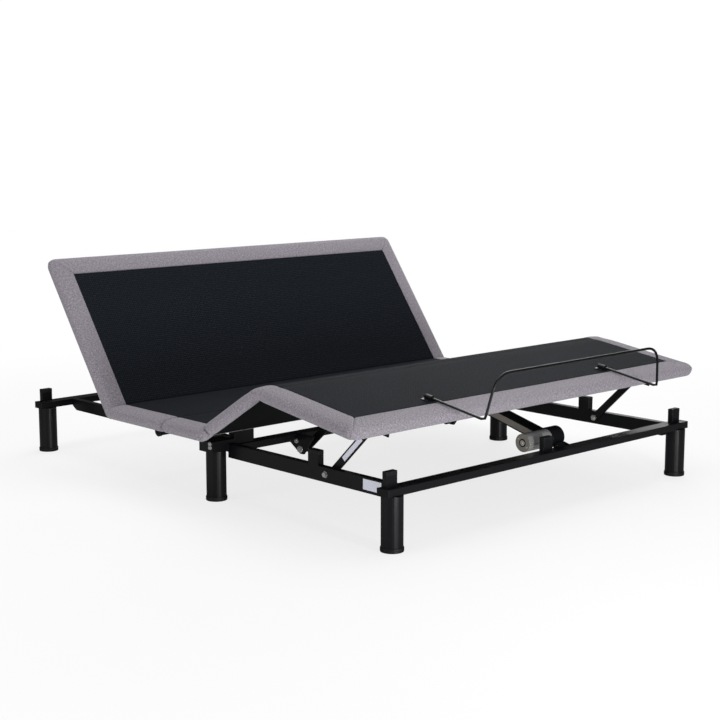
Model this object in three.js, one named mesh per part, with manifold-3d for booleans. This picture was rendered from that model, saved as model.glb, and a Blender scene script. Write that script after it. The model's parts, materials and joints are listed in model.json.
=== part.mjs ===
// An adjustable bed base: a steel frame on six legs carries five upholstered deck panels.
// The back and the thigh panel tilt on hinges, the calf panel follows the thigh, and two linear
// actuators turn the lift frames that push the panels up. Millimetres, +Z up, head end at +Y.
import * as THREE from "three";
import { mergeVertices } from "three/addons/utils/BufferGeometryUtils.js";
import Module from "manifold-3d";

const wasm = await Module();
wasm.setup();

// ---- deck sizes ----
const DECK_WIDTH = 1800;
const DECK_TOP = 289.5; // fabric surface of the seat above the floor
const BACK_LENGTH = 658;
const SEAT_REAR_LENGTH = 334.5;
const SEAT_FRONT_LENGTH = 209.5;
const THIGH_LENGTH = 348.7;
const CALF_LENGTH = 465.5;
const BACK_ANGLE = 54.34; // degrees, as modelled
const THIGH_ANGLE = 31.3;
const CALF_ANGLE = 8.34; // the calf panel falls towards the foot end
const BACK_MOST = 60; // steepest back and thigh angles, which set the bevels at the fold lines
const THIGH_MOST = 36;
const PADDING = 17; // foam and fabric over the board
const BOARD = 18; // plywood
const BORDER_DROP = 47; // the upholstered edge reaches this far below the fabric surface
const BORDER_WALL = 14;
const CORNER_RADIUS = 30;
const EDGE_RADIUS = 15;
const SEAT_SPLIT_Y = 64.5; // line where the two seat panels meet

// ---- hinges ----
const KNUCKLE_RADIUS = 5;
const HINGE_PIN_RADIUS = 2.5;
const BOARD_TO_FOLD = 9; // a board's edge stays this far from its fold line
const LEAF = 3;
const HINGE_END_GAP = 16; // from a hinge's end to the border wall
const KNUCKLES = 9;
const ACTUATOR_NOTCH = 90; // width left free of knuckles over the actuators

// ---- base frame ----
const WALL = 2.5; // steel tube wall
const CROSS_HEIGHT = 25; // cross rails: height, then depth along Y
const CROSS_DEPTH = 50;
const CROSS_LENGTH = 1580;
const LEG_HEIGHT = 179;
const LEG_RADIUS = 35.8;
const LEG_SPACING = 1502;
const FOOT_LEG_IN = 14.2; // foot leg axes, in from the flat deck's end
const MID_LEG_OUT = 88; // mid leg axes, past the thigh fold towards the head
const HEAD_LEG_OUT = 4; // head leg axes, past the flat deck's end
const LEG_CAP = 5; // thickness of the plate on top of a leg
const GLIDE_HEIGHT = 15;
const GLIDE_FLARE = 1.6; // the glide stands this far outside the leg
const GLIDE_LIP = 2; // the plug inside the leg starts this far below the leg's edge
const MID_RAIL_BOTTOM = 165;
const SIDE_HEIGHT = 50;
const SIDE_WIDTH = 25;
const SIDE_BOTTOM = 154;
const FOOT_SIDE_X = 712.5; // centre planes of the side rails
const HEAD_SIDE_X = 636;
const HEAD_SIDE_BOTTOM = 160;
const HEAD_SIDE_HEIGHT = 44;
const POST_TOP_GAP = 0.6; // between a post and the flat panel above it
const POST_WIDTH = 45;
const POST_DEPTH = 20;
const SIDE_POST_LENGTH = 50;
const FOOT_SIDE_POST_Y = -545;
const HEAD_SIDE_POSTS_Y = [200, 760];
const TUBE_HOLE_RADIUS = 5; // drain holes in the undersides of the tubes
const LEG_BRACKET_RISE = 14; // bracket over a mid leg, above the side rail
const LEG_BRACKET_PAST = 7; // and past the end of the cross rails
const SEAT_BRACKET_WIDTH = 90;
const SEAT_BRACKET_DEPTH = 30;
const RAIL_END_CUT = [30, 18]; // length and height of the slant under a head side rail's end

// ---- lift frames ----
const LEG_PIVOT = [-110, 138]; // y and z
const HEAD_PIVOT = [470, 150];
const LEG_ARM = 320;
const HEAD_ARM = 380;
const LEG_LEVER = 313;
const HEAD_LEVER = 130;
const HEAD_LEVER_LEAD = 22.4; // degrees between the head lift's lever and its arms
const TORQUE_RADIUS = 19;
const LEG_TUBE_AT = 268; // the leg lift's tube crosses its arms this far from the pivot
const BOSS_RADIUS = 14;
const STUB_RADIUS = 9;
const ARM_X = 372;
const ARM_PLATE = 8;
const ARM_HEIGHT = 44;
const HANGER_X = 400;
const HANGER_PLATE = 8;
const LUG_RADIUS = 22; // lug that carries the head lift under its side rail
const LUG_ROOT = 25; // the lug's root below the rail's top
const HANGER_EDGE = 17; // steel round the leg lift's pivot hole
const HANGER_REACH = 70; // the hanger's top reaches this far past the pivot
const HANGER_LIP = 5;
const HANGER_FOOT = 10; // the hanger's top edge ends this far inside the rail
const ARM_NARROW = 8; // arms and levers are slimmer than the torque tube's boss
const LEVER_NARROW = 4;
const LEVER_PLATE = 6;
const NUT = 6; // nut height on the lever's pin
const SHOE_RADIUS = 20;
const SHOE_WIDTH = 30;
const LEG_SHOE_GAP = 4.5; // room for the arc that the shoes travel
const HEAD_SHOE_GAP = 7.5;

// ---- actuators ----
const ACTUATOR_X = 120;
const CLEVIS_Y = 19; // pin centre from the face of its cross rail
const CLEVIS_Z = 200;
const CLEVIS_EAR = 11.5; // radius of an ear's end
const CLEVIS_PLATE = 4;
const CLEVIS_PIN_PAST = 8;
const CLEVIS_ROOT_DROP = 5;
const MOTOR_RADIUS = 32.5;
const MOTOR_LENGTH = 122;
const MOTOR_ALONG = 48;
const MOTOR_ABOVE = 12;
const GEARBOX_RADIUS = 37;
const GEARBOX_WIDTH = 60;
const GEARBOX_TAIL = 28; // width of the eye between the clevis ears
const GEARBOX_TAIL_RADIUS = 13;
const GEARBOX_BLOCK_RISE = 12; // the block behind the guide is taller than the guide by this
const MOTOR_BOSS = [10, 3]; // radius and length of the boss on the motor's end
const MOTOR_SHAFT = [4, 6];
const GUIDE_START = 88;
const GUIDE_LENGTH = 330;
const GUIDE_WIDTH = 56;
const GUIDE_HEIGHT = 32;
const ROD_RADIUS = 11;
const ROD_LENGTH = 300;
const ROD_EYE_RADIUS = 14;
const ROD_EYE_WIDTH = 28;
const GUIDE_END_WALL = 6;
const ROD_BORE_CLEARANCE = 1;
const PIN_RADIUS = 6;

// ---- calf links ----
const LINK_PIVOT = [-605, 180];
const LINK_LENGTH = 272;
const LINK_ANGLE = 44;
const LINK_WIDTH = 28;
const LINK_END_RADIUS = 12;
const LINK_PLATE = 6;
const LINK_INSET = 2; // washer gap between a link and its side rail
const LINK_TAPER_AT = 0.86; // share of the link's length where its full width ends
const LINK_PIN_LENGTH = 14;
const LINK_STUD_PAST = 5;
const LINK_NUT = 6;
const SLOT_LENGTH = 62;
const SLOT_PAST = 8; // slot beyond the pin's centre at rest, on the side that it runs to
const SLOT_BACK = 16;
const SLOT_ROOM = [8, 5.5]; // below and above the pin
const LINK_BRACKET_PLATE = 5;
const LINK_BRACKET_EDGE = 12;
const LINK_BRACKET_UNDER = 7;
const LINK_BRACKET_FLANGE = [34, 3]; // width and thickness

// ---- mattress retainer ----
const RETAINER_WIRE = 4.5; // radius
const RETAINER_WIDTH = 914;
const RETAINER_TOP_WIDTH = 850;
const RETAINER_HEIGHT = 148;
const RETAINER_REACH = 136; // past the panel's end
const RETAINER_SOCKET_IN = 112; // socket centre from the panel's end
const RETAINER_LIFT = 9; // wire centre above the fabric
const RETAINER_SINK = 5; // the wires sink this much towards their outer end
const RETAINER_BENDS = [12, 62]; // corner radii, below and above
const SOCKET_FOOT = [44, 34, 3]; // width, length and thickness
const SOCKET_LENGTH = 30;
const SOCKET_WALL = 2.9;
const SOCKET_BORE_CLEARANCE = 1.6;
const SOCKET_WEB = 14;

// ---- control box ----
const CONTROL_X = [250, 430];
const CONTROL_Y = [150, 260];
const CONTROL_HEIGHT = 46;
const INLET_Y = [190, 220];
const INLET_DEPTH = 16;
const INLET_MARGIN = 12;

// ---- clearances ----
const TOUCH = 0.3; // between pieces that touch
const RUN = 0.4; // radial, round a pin
const SIDE_PLAY = 1; // beside a moving plate
const PAST = 50; // how far a cutting tool runs past the surface that it cuts

// ---- finishes ----
const finish = (color, roughness, metalness) =>
  new THREE.MeshStandardMaterial({ color, roughness, metalness });
const steel = finish(0x16171a, 0.4, 0.5);
const plywood = finish(0x8a6b48, 0.8, 0);
const fabric = finish(0x9c949c, 0.95, 0);
const rubber = finish(0x1d1d1e, 0.85, 0);
const nylon = finish(0xd8d8d2, 0.5, 0);
const plastic = finish(0x1b1c1e, 0.5, 0);
const zinc = finish(0xb4b6b8, 0.35, 0.9);

const rad = THREE.MathUtils.degToRad;
const deg = THREE.MathUtils.radToDeg;

// ---- solids ----
function toSolid(geometry) {
  const bare = geometry.clone();
  bare.deleteAttribute("normal");
  bare.deleteAttribute("uv");
  const merged = mergeVertices(bare, 1e-4);
  return new wasm.Manifold(
    new wasm.Mesh({
      numProp: 3,
      vertProperties: merged.attributes.position.array,
      triVerts: new Uint32Array(merged.index.array),
    }),
  );
}

function toGeometry(solid) {
  const mesh = solid.getMesh();
  const geometry = new THREE.BufferGeometry();
  geometry.setAttribute("position", new THREE.BufferAttribute(mesh.vertProperties, 3));
  geometry.setIndex(new THREE.BufferAttribute(mesh.triVerts, 1));
  geometry.computeVertexNormals();
  return geometry;
}

const join = (...solids) => solids.reduce((a, b) => a.add(b));
const cut = (solid, ...tools) => tools.reduce((a, b) => a.subtract(b), solid);

function box(x, y, z) {
  const geometry = new THREE.BoxGeometry(x[1] - x[0], y[1] - y[0], z[1] - z[0]);
  geometry.translate((x[0] + x[1]) / 2, (y[0] + y[1]) / 2, (z[0] + z[1]) / 2);
  return toSolid(geometry);
}

// A plate whose outline is given in the YZ plane, as thick as its span in X.
function plate(x, outline, holes = []) {
  const shape = new THREE.Shape(outline.map(([y, z]) => new THREE.Vector2(y, z)));
  for (const [y, z, radius] of holes)
    shape.holes.push(new THREE.Path().absarc(y, z, radius, 0, 2 * Math.PI, true));
  const geometry = new THREE.ExtrudeGeometry(shape, {
    depth: x[1] - x[0],
    bevelEnabled: false,
    curveSegments: 10,
  });
  geometry.applyMatrix4(
    new THREE.Matrix4().makeBasis(
      new THREE.Vector3(0, 1, 0),
      new THREE.Vector3(0, 0, 1),
      new THREE.Vector3(1, 0, 0),
    ),
  );
  geometry.translate(x[0], 0, 0);
  return toSolid(geometry);
}

// A round bar along X, Y or Z: its span on that axis, and its centre on the other two.
function bar(axis, span, centre, radius, sides = 20) {
  const geometry = new THREE.CylinderGeometry(radius, radius, span[1] - span[0], sides);
  const middle = (span[0] + span[1]) / 2;
  if (axis === "x") {
    geometry.rotateZ(-Math.PI / 2);
    geometry.translate(middle, centre[0], centre[1]);
  } else if (axis === "y") {
    geometry.translate(centre[0], middle, centre[1]);
  } else {
    geometry.rotateX(Math.PI / 2);
    geometry.translate(centre[0], centre[1], middle);
  }
  return toSolid(geometry);
}

// A straight flat bar in the YZ plane with round ends, from one point to another.
function strap(x, from, to, radius, holes = []) {
  const along = Math.atan2(to[1] - from[1], to[0] - from[0]);
  const outline = [];
  const steps = 6;
  for (const [end, start] of [[to, along - Math.PI / 2], [from, along + Math.PI / 2]])
    for (let i = 0; i <= steps; i++) {
      const a = start + (Math.PI * i) / steps;
      outline.push([end[0] + radius * Math.cos(a), end[1] + radius * Math.sin(a)]);
    }
  return plate(x, outline, holes);
}

const bed = new THREE.Group();

function add(parent, name, solid, material) {
  const mesh = new THREE.Mesh(toGeometry(solid), material);
  mesh.name = name;
  parent.add(mesh);
  return mesh;
}

// A group at a point of the YZ plane, turned about X.
function pivotGroup([y, z], degrees, parent = bed) {
  const group = new THREE.Group();
  group.position.set(0, y, z);
  group.rotation.x = rad(degrees);
  parent.add(group);
  return group;
}

// The point at a distance and angle from another, facing the head (1) or the foot (-1).
const reach = ([y, z], facing, distance, degrees) => [
  y + facing * distance * Math.cos(rad(degrees)),
  z + distance * Math.sin(rad(degrees)),
];

const SIDES = [["left", -1], ["right", 1]];
const spanOf = (centre, width) => [centre - width / 2, centre + width / 2];
const ordered = (a, b) => [Math.min(a, b), Math.max(a, b)];

// ---- fold lines ----
const foldZ = DECK_TOP - PADDING;
const backFold = [SEAT_SPLIT_Y + SEAT_REAR_LENGTH, foldZ];
const thighFold = [SEAT_SPLIT_Y - SEAT_FRONT_LENGTH, foldZ];
const calfEndFlat = thighFold[0] - THIGH_LENGTH - CALF_LENGTH;
const backEndFlat = backFold[0] + BACK_LENGTH;
const footLegY = calfEndFlat + FOOT_LEG_IN;
const midLegY = thighFold[0] + MID_LEG_OUT;
const headLegY = backEndFlat + HEAD_LEG_OUT;
const kneeBelow = BORDER_DROP - PADDING; // the knee folds at the bottom of the border
const kneeFold = [
  thighFold[0] - THIGH_LENGTH * Math.cos(rad(THIGH_ANGLE)) + kneeBelow * Math.sin(rad(-THIGH_ANGLE)),
  thighFold[1] + THIGH_LENGTH * Math.sin(rad(THIGH_ANGLE)) - kneeBelow * Math.cos(rad(THIGH_ANGLE)),
];
const half = DECK_WIDTH / 2;
const boardHalf = half - BORDER_WALL;

// ---- deck panels ----
// Each panel lies flat in its own group, from near to far along Y, with z = 0 at the board's top.
const seatGroup = pivotGroup([0, foldZ], 0);
const backGroup = pivotGroup(backFold, BACK_ANGLE);
const thighGroup = pivotGroup(thighFold, -THIGH_ANGLE);
const calfGroup = pivotGroup(kneeFold, CALF_ANGLE);
const calfLift = kneeBelow; // board top above the knee line

// Upholstery over a board: foam on top and a border down the sides. The ends listed in closed
// have a border too, and the others stop at a fold or a seam.
function upholstery(y, zTop, closed) {
  const roundAt = (end) => (closed.includes(end) ? CORNER_RADIUS : 0);
  const yLow = closed.includes("low") ? y[0] : y[0] - PAST;
  const yHigh = closed.includes("high") ? y[1] : y[1] + PAST;
  const plan = new THREE.Shape();
  const rim = EDGE_RADIUS;
  const left = -half + rim;
  const right = half - rim;
  const low = yLow + rim;
  const high = yHigh - rim;
  const lowRound = roundAt("low");
  const highRound = roundAt("high");
  plan.moveTo(left + lowRound, low);
  plan.lineTo(right - lowRound, low);
  if (lowRound) plan.absarc(right - lowRound, low + lowRound, lowRound, -Math.PI / 2, 0);
  plan.lineTo(right, high - highRound);
  if (highRound) plan.absarc(right - highRound, high - highRound, highRound, 0, Math.PI / 2);
  plan.lineTo(left + highRound, high);
  if (highRound) plan.absarc(left + highRound, high - highRound, highRound, Math.PI / 2, Math.PI);
  plan.lineTo(left, low + lowRound);
  if (lowRound) plan.absarc(left + lowRound, low + lowRound, lowRound, Math.PI, 1.5 * Math.PI);
  const geometry = new THREE.ExtrudeGeometry(plan, {
    depth: BORDER_DROP - 2 * rim,
    bevelSize: rim,
    bevelThickness: rim,
    bevelSegments: 3,
    curveSegments: 4,
  });
  geometry.translate(0, 0, zTop - BORDER_DROP + rim);
  const inLow = closed.includes("low") ? y[0] + BORDER_WALL - TOUCH : y[0] - 2 * PAST;
  const inHigh = closed.includes("high") ? y[1] - BORDER_WALL + TOUCH : y[1] + 2 * PAST;
  const pocket = box(
    spanOf(0, 2 * (boardHalf + TOUCH)),
    [inLow, inHigh],
    [zTop - BORDER_DROP - PAST, zTop - PADDING + TOUCH],
  );
  let solid = cut(toSolid(geometry), pocket);
  if (!closed.includes("low"))
    solid = cut(solid, box(spanOf(0, DECK_WIDTH + PAST), [y[0] - 3 * PAST, y[0]], [-PAST * 2, PAST * 2]));
  if (!closed.includes("high"))
    solid = cut(solid, box(spanOf(0, DECK_WIDTH + PAST), [y[1], y[1] + 3 * PAST], [-PAST * 2, PAST * 2]));
  return solid;
}

// What a fold that closes upwards takes off the padding on one side of it (side 1 for the panel
// at higher Y): a bevel for the steepest angle, and room for the knuckles over the board's edge.
function foldBevel(foldY, side, most) {
  const lean = Math.tan(rad(most / 2)) * (PADDING + PAST);
  const start = foldY + side * SIDE_PLAY * 1.5;
  const outline = [
    [start, 0],
    [start + side * lean, PADDING + PAST],
    [start - side * PAST, PADDING + PAST],
    [start - side * PAST, 0],
  ];
  if (side > 0) outline.reverse();
  const knuckleRoom = KNUCKLE_RADIUS + 2;
  return join(
    plate(spanOf(0, DECK_WIDTH + PAST), outline),
    box(
      spanOf(0, 2 * (boardHalf + TOUCH)),
      ordered(foldY - side * PAST, foldY + side * (BOARD_TO_FOLD + TOUCH)),
      [-BOARD, knuckleRoom],
    ),
  );
}

const board = (y, zTop) => box(spanOf(0, 2 * boardHalf), y, [zTop - BOARD, zTop]);

const seam = TOUCH * 2; // half the gap where the two seat panels meet
const foldGap = SIDE_PLAY * 1.5;

add(seatGroup, "seat_rear_board", board([SEAT_SPLIT_Y + seam, backFold[0] - BOARD_TO_FOLD], 0), plywood);
add(
  seatGroup,
  "seat_rear_upholstery",
  cut(
    upholstery([SEAT_SPLIT_Y + seam, backFold[0] - foldGap], PADDING, []),
    foldBevel(backFold[0], -1, BACK_MOST),
  ),
  fabric,
);
add(seatGroup, "seat_front_board", board([thighFold[0] + BOARD_TO_FOLD, SEAT_SPLIT_Y - seam], 0), plywood);
add(
  seatGroup,
  "seat_front_upholstery",
  cut(
    upholstery([thighFold[0] + foldGap, SEAT_SPLIT_Y - seam], PADDING, []),
    foldBevel(thighFold[0], 1, THIGH_MOST),
  ),
  fabric,
);
add(backGroup, "back_board", board([BOARD_TO_FOLD, BACK_LENGTH - BORDER_WALL], 0), plywood);
add(
  backGroup,
  "back_upholstery",
  cut(upholstery([foldGap, BACK_LENGTH], PADDING, ["high"]), foldBevel(0, 1, BACK_MOST)),
  fabric,
);
add(thighGroup, "thigh_board", board([-THIGH_LENGTH + BOARD_TO_FOLD, -BOARD_TO_FOLD], 0), plywood);
const kneeGap = foldGap * 1.3; // the border's lowest edge turns towards its neighbour here
add(
  thighGroup,
  "thigh_upholstery",
  cut(
    upholstery([-THIGH_LENGTH + kneeGap, -foldGap], PADDING, []),
    foldBevel(0, -1, THIGH_MOST),
  ),
  fabric,
);
add(
  calfGroup,
  "calf_board",
  board([-CALF_LENGTH + BORDER_WALL, -BOARD_TO_FOLD], calfLift),
  plywood,
);
add(
  calfGroup,
  "calf_upholstery",
  upholstery([-CALF_LENGTH, -kneeGap], calfLift + PADDING, ["low"]),
  fabric,
);

// ---- hinges ----
// A hinge leaf is a strip on the edge of a board, with knuckles round the fold line. Side 1 is
// the panel at higher Y. The leaf that holds the pin has the even knuckles.
function hingeLeaf(side, z, holdsPin) {
  const halfLength = boardHalf - HINGE_END_GAP;
  const step = (2 * halfLength) / KNUCKLES;
  const face = BOARD_TO_FOLD - TOUCH;
  const strip = box(
    spanOf(0, 2 * halfLength),
    ordered(side * (face - LEAF), side * face),
    z,
  );
  let solid = strip;
  for (let i = 0; i < KNUCKLES; i++) {
    if ((i % 2 === 0) !== holdsPin) continue;
    const span = [-halfLength + i * step + SIDE_PLAY, -halfLength + (i + 1) * step - SIDE_PLAY];
    const web = box(span, ordered(0, side * face), [-LEAF / 2, LEAF / 2]);
    solid = join(solid, bar("x", span, [0, 0], KNUCKLE_RADIUS, 12), web);
  }
  const pinEnds = [-halfLength + SIDE_PLAY, halfLength - SIDE_PLAY];
  return holdsPin
    ? join(solid, bar("x", pinEnds, [0, 0], HINGE_PIN_RADIUS, 10))
    : cut(solid, bar("x", [pinEnds[0] - PAST, pinEnds[1] + PAST], [0, 0], HINGE_PIN_RADIUS + RUN, 10));
}

const edgeStrip = [-BOARD, 0];
const kneeStrip = [0, calfLift - TOUCH];
const actuatorRoom = join(
  ...[-ACTUATOR_X, ACTUATOR_X].map((x) =>
    box(spanOf(x, ACTUATOR_NOTCH), [-PAST, PAST], [-PAST, calfLift - BOARD]),
  ),
);
const backHinge = pivotGroup(backFold, 0);
const thighHinge = pivotGroup(thighFold, 0);
add(backHinge, "back_hinge_seat_leaf", hingeLeaf(-1, edgeStrip, true), zinc);
add(backGroup, "back_hinge_leaf", hingeLeaf(1, edgeStrip, false), zinc);
add(thighHinge, "thigh_hinge_seat_leaf", hingeLeaf(1, edgeStrip, true), zinc);
add(thighGroup, "thigh_hinge_leaf", hingeLeaf(-1, edgeStrip, false), zinc);
const kneeOnThigh = pivotGroup([-THIGH_LENGTH, -kneeBelow], 0, thighGroup);
add(kneeOnThigh, "knee_hinge_thigh_leaf", cut(hingeLeaf(1, kneeStrip, true), actuatorRoom), zinc);
add(calfGroup, "knee_hinge_calf_leaf", cut(hingeLeaf(-1, kneeStrip, false), actuatorRoom), zinc);

// ---- legs ----
for (const [place, y] of [["foot", footLegY], ["mid", midLegY], ["head", headLegY]])
  for (const [side, sign] of SIDES) {
    const x = (sign * LEG_SPACING) / 2;
    const top = LEG_HEIGHT - TOUCH;
    const inside = LEG_RADIUS - WALL;
    const tube = cut(
      bar("z", [GLIDE_HEIGHT, top], [x, y], LEG_RADIUS, 32),
      bar("z", [GLIDE_HEIGHT - PAST, top - LEG_CAP], [x, y], inside, 32),
    );
    add(bed, `${place}_leg_${side}`, tube, steel);
    const glide = join(
      bar("z", [0, GLIDE_HEIGHT - TOUCH], [x, y], LEG_RADIUS + GLIDE_FLARE, 32),
      bar("z", [GLIDE_HEIGHT - GLIDE_LIP, GLIDE_HEIGHT * 2], [x, y], inside - TOUCH, 32),
    );
    add(bed, `${place}_glide_${side}`, glide, rubber);
  }

// ---- rails ----
// A closed box tube whose inside is reached by a hole in its underside at each place in holesAt.
function boxTube(x, y, z, holesAt) {
  const shrink = ([a, b]) => [a + WALL, b - WALL];
  const inner = box(shrink(x), shrink(y), shrink(z));
  const holes = holesAt.map(([hx, hy]) =>
    bar("z", [z[0] - PAST, z[0] + WALL * 2], [hx, hy], TUBE_HOLE_RADIUS, 12),
  );
  return cut(box(x, y, z), inner, ...holes);
}

const postTop = DECK_TOP - PADDING - BOARD - POST_TOP_GAP;
const post = (x, y, bottom) => box(x, y, [bottom, postTop]);
const legX = LEG_SPACING / 2;
const legHoles = (y) => [[-legX, y], [legX, y]];
const crossX = spanOf(0, CROSS_LENGTH);
const footY = spanOf(footLegY, CROSS_DEPTH);
const headY = spanOf(headLegY, CROSS_DEPTH);
const midY = spanOf(midLegY, CROSS_DEPTH);
const crossZ = [LEG_HEIGHT, LEG_HEIGHT + CROSS_HEIGHT];
const midZ = [MID_RAIL_BOTTOM, MID_RAIL_BOTTOM + CROSS_HEIGHT];

// Two ears that hold an actuator's pin, standing out of a cross rail's face.
function clevis(x, faceY, facing) {
  const pin = [faceY + facing * CLEVIS_Y, CLEVIS_Z];
  const gap = GEARBOX_TAIL / 2 + SIDE_PLAY;
  const ear = (x0) =>
    strap([x0, x0 + CLEVIS_PLATE], [faceY - facing, CLEVIS_Z - CLEVIS_ROOT_DROP], pin, CLEVIS_EAR);
  return join(
    ear(x - gap - CLEVIS_PLATE),
    ear(x + gap),
    bar("x", spanOf(x, 2 * (gap + CLEVIS_PIN_PAST)), pin, PIN_RADIUS, 16),
  );
}

// The foot end's posts carry the calf panel's board, so they stand inside its border.
const footPostY = [calfEndFlat + BORDER_WALL + SIDE_PLAY, calfEndFlat + BORDER_WALL + SIDE_PLAY + POST_DEPTH];
const footPosts = [-legX, 0, legX].map((x) => post(spanOf(x, POST_WIDTH), footPostY, crossZ[1] - 1));
const footInner = footY[1];
const headInner = headY[0];
add(
  bed,
  "foot_rail",
  join(
    boxTube(crossX, footY, crossZ, legHoles(footLegY)),
    clevis(ACTUATOR_X, footInner, 1),
    ...footPosts,
  ),
  steel,
);

// The head end's posts stand just past the flat back panel.
const headPostY = [backEndFlat + 2.5 * SIDE_PLAY, backEndFlat + 2.5 * SIDE_PLAY + POST_DEPTH];
const headPosts = [-legX, legX].map((x) => post(spanOf(x, POST_WIDTH), headPostY, crossZ[1] - 1));
add(
  bed,
  "head_rail",
  join(
    boxTube(crossX, headY, crossZ, legHoles(headLegY)),
    clevis(-ACTUATOR_X, headInner, -1),
    ...headPosts,
  ),
  steel,
);

const sideInner = FOOT_SIDE_X - SIDE_WIDTH / 2;
const seatBracket = (sign) => {
  const x = spanOf(sign * HEAD_SIDE_X, SEAT_BRACKET_WIDTH);
  return box(x, spanOf(midLegY, SEAT_BRACKET_DEPTH), [midZ[1] - 1, foldZ - BOARD - TOUCH]);
};
add(
  bed,
  "mid_rail",
  join(
    boxTube(spanOf(0, 2 * (sideInner - TOUCH)), midY, midZ, [[0, midLegY]]),
    ...SIDES.map(([, sign]) => seatBracket(sign)),
  ),
  steel,
);

const sideZ = [SIDE_BOTTOM, SIDE_BOTTOM + SIDE_HEIGHT];
const sideY = [footInner + TOUCH, midLegY - LEG_RADIUS - SIDE_PLAY];
const bracketTop = sideZ[1] + LEG_BRACKET_RISE;
for (const [side, sign] of SIDES) {
  const x = spanOf(sign * FOOT_SIDE_X, SIDE_WIDTH);
  const legBracket = box(
    ordered(sign * sideInner, sign * (CROSS_LENGTH / 2 + LEG_BRACKET_PAST)),
    [sideY[1] - 2, midLegY + LEG_RADIUS],
    [LEG_HEIGHT, bracketTop],
  );
  const linkStud = bar(
    "x",
    ordered(sign * (sideInner + WALL), sign * (sideInner - LINK_INSET - LINK_PLATE - LINK_STUD_PAST)),
    LINK_PIVOT,
    PIN_RADIUS,
    16,
  );
  const linkNut = bar(
    "x",
    ordered(
      sign * (sideInner - LINK_INSET - LINK_PLATE - SIDE_PLAY),
      sign * (sideInner - LINK_INSET - LINK_PLATE - SIDE_PLAY - LINK_NUT),
    ),
    LINK_PIVOT,
    PIN_RADIUS * 1.8,
    6,
  );
  const legRoom = bar("z", [-PAST, LEG_HEIGHT], [sign * legX, footLegY], LEG_RADIUS + RUN, 32);
  add(
    bed,
    `foot_side_rail_${side}`,
    join(
      cut(boxTube(x, sideY, sideZ, [[sign * FOOT_SIDE_X, FOOT_SIDE_POST_Y]]), legRoom),
      legBracket,
      post(x, spanOf(FOOT_SIDE_POST_Y, SIDE_POST_LENGTH), sideZ[1] - 1),
      linkStud,
      linkNut,
    ),
    steel,
  );
}

const headSideZ = [HEAD_SIDE_BOTTOM, HEAD_SIDE_BOTTOM + HEAD_SIDE_HEIGHT];
const headSideY = [midY[1] + TOUCH, headInner - TOUCH];
for (const [side, sign] of SIDES) {
  const x = spanOf(sign * HEAD_SIDE_X, SIDE_WIDTH);
  const inner = sign * (HEAD_SIDE_X - SIDE_WIDTH / 2);
  const lug = strap(
    ordered(inner + sign, inner - sign * HANGER_PLATE),
    [HEAD_PIVOT[0], headSideZ[1] - LUG_ROOT],
    HEAD_PIVOT,
    LUG_RADIUS,
  );
  const chamfer = plate(spanOf(sign * HEAD_SIDE_X, SIDE_WIDTH + PAST), [
    [headSideY[1] - RAIL_END_CUT[0], headSideZ[0] - 1],
    [headSideY[1] + 1, headSideZ[0] - 1],
    [headSideY[1] + 1, headSideZ[0] + RAIL_END_CUT[1]],
  ]);
  const tube = boxTube(
    x,
    headSideY,
    headSideZ,
    HEAD_SIDE_POSTS_Y.map((y) => [sign * HEAD_SIDE_X, y]),
  );
  const rail = cut(
    join(
      tube,
      lug,
      ...HEAD_SIDE_POSTS_Y.map((y) => post(x, spanOf(y, SIDE_POST_LENGTH), headSideZ[1] - 1)),
    ),
    chamfer,
    bar("x", ordered(inner - sign * PAST, inner + sign), HEAD_PIVOT, STUB_RADIUS + RUN, 20),
  );
  add(bed, `head_side_rail_${side}`, rail, steel);
}

// ---- leg lift hangers ----
for (const [side, sign] of SIDES) {
  const [py, pz] = LEG_PIVOT;
  const under = midZ[0] - TOUCH;
  const face = midY[0] - TOUCH;
  const outline = [
    [midY[1] - HANGER_FOOT, under],
    [face, under],
    [face, midZ[1] + HANGER_LIP],
    [py - HANGER_REACH, midZ[1] + HANGER_LIP],
    [py - HANGER_REACH, midZ[1]],
    [py - HANGER_EDGE, pz - HANGER_EDGE],
    [py + 2, pz - HANGER_EDGE],
  ];
  add(
    bed,
    `leg_lift_hanger_${side}`,
    plate(spanOf(sign * HANGER_X, HANGER_PLATE), outline, [[py, pz, STUB_RADIUS + RUN]]),
    steel,
  );
}

// ---- lift frames ----
// The angle of an arm whose shoe just clears the underside of a tilted panel.
function armAngle(pivot, fold, facing, tilt, arm, gap) {
  const away = [facing * (pivot[0] - fold[0]), pivot[1] - fold[1]];
  const above = -away[0] * Math.sin(rad(tilt)) + away[1] * Math.cos(rad(tilt));
  const below = BOARD + gap + SHOE_RADIUS;
  return tilt + deg(Math.asin((-below - above) / arm));
}
const legArmAngle = armAngle(LEG_PIVOT, thighFold, -1, THIGH_ANGLE, LEG_ARM, LEG_SHOE_GAP);
const headArmAngle = armAngle(HEAD_PIVOT, backFold, 1, BACK_ANGLE, HEAD_ARM, HEAD_SHOE_GAP);

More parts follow.
